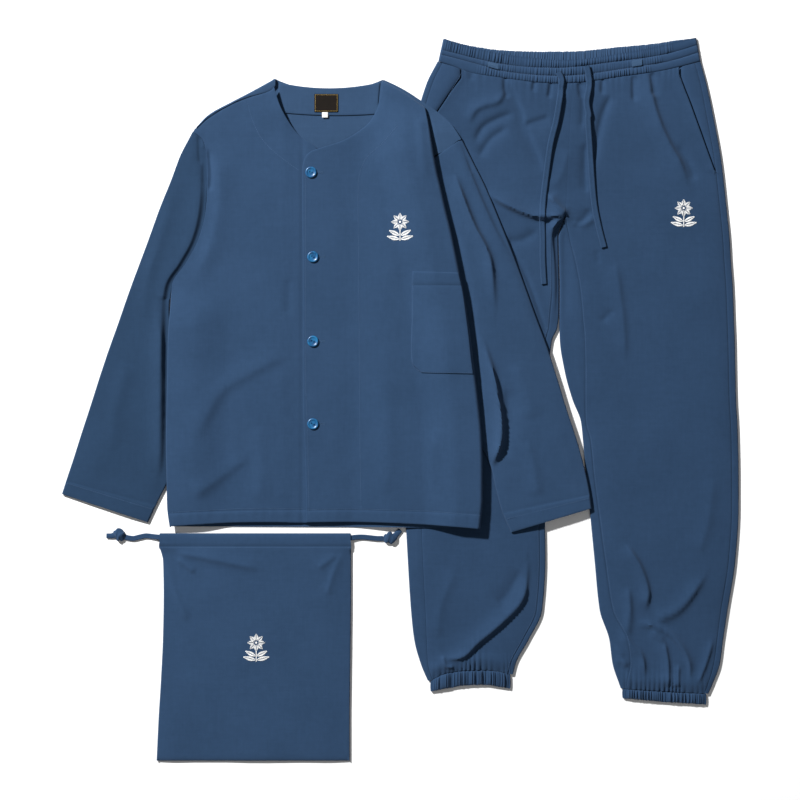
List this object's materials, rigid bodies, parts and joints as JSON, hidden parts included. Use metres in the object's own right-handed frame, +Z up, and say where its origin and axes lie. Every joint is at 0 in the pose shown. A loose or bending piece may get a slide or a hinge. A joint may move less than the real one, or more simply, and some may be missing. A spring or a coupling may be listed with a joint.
{
  "type": "pyjama set laid flat: shirt, trousers and pouch",
  "caption": "Collarless navy pyjama shirt lying over gathered drawstring trousers, with a drawstring pouch, all laid flat.",
  "frame": {"origin": "centre of the laid-out set's bounding box, on the surface that it lies on", "axes": "+Z up from the surface, +Y from the hems towards the neck and waist, along the set's longest extent"},
  "size_m": [1.051, 1.1206, 0.022],
  "materials": {
    "cotton": "brushed",
    "cord": "matte",
    "button": "gloss",
    "label_black": "satin",
    "label_white": "satin"
  },
  "bodies": {
    "root": {"trousers_front_left": "cotton", "trousers_front_right": "cotton", "trousers_back_left": "cotton", "trousers_back_right": "cotton", "pocket_side_left": "cotton", "pocket_side_right": "cotton", "waistband_front": "cotton", "waistband_back": "cotton", "trousers_cuff_left": "cotton", "trousers_cuff_right": "cotton", "drawcord_left": "cord", "drawcord_right": "cord", "shirt_sleeve_left": "cotton", "shirt_sleeve_right": "cotton", "shirt_back": "cotton", "shirt_front_left": "cotton", "shirt_front_right": "cotton", "chest_pocket": "cotton", "neck_facing": "cotton", "button_1": "button", "button_2": "button", "button_3": "button", "button_4": "button", "neck_label": "label_black", "size_tab": "label_white", "pouch_front": "cotton", "pouch_back": "cotton", "pouch_cord_left": "cord", "pouch_cord_right": "cord", "pouch_knot_left": "cord", "pouch_knot_right": "cord"}
  },
  "joints": []
}
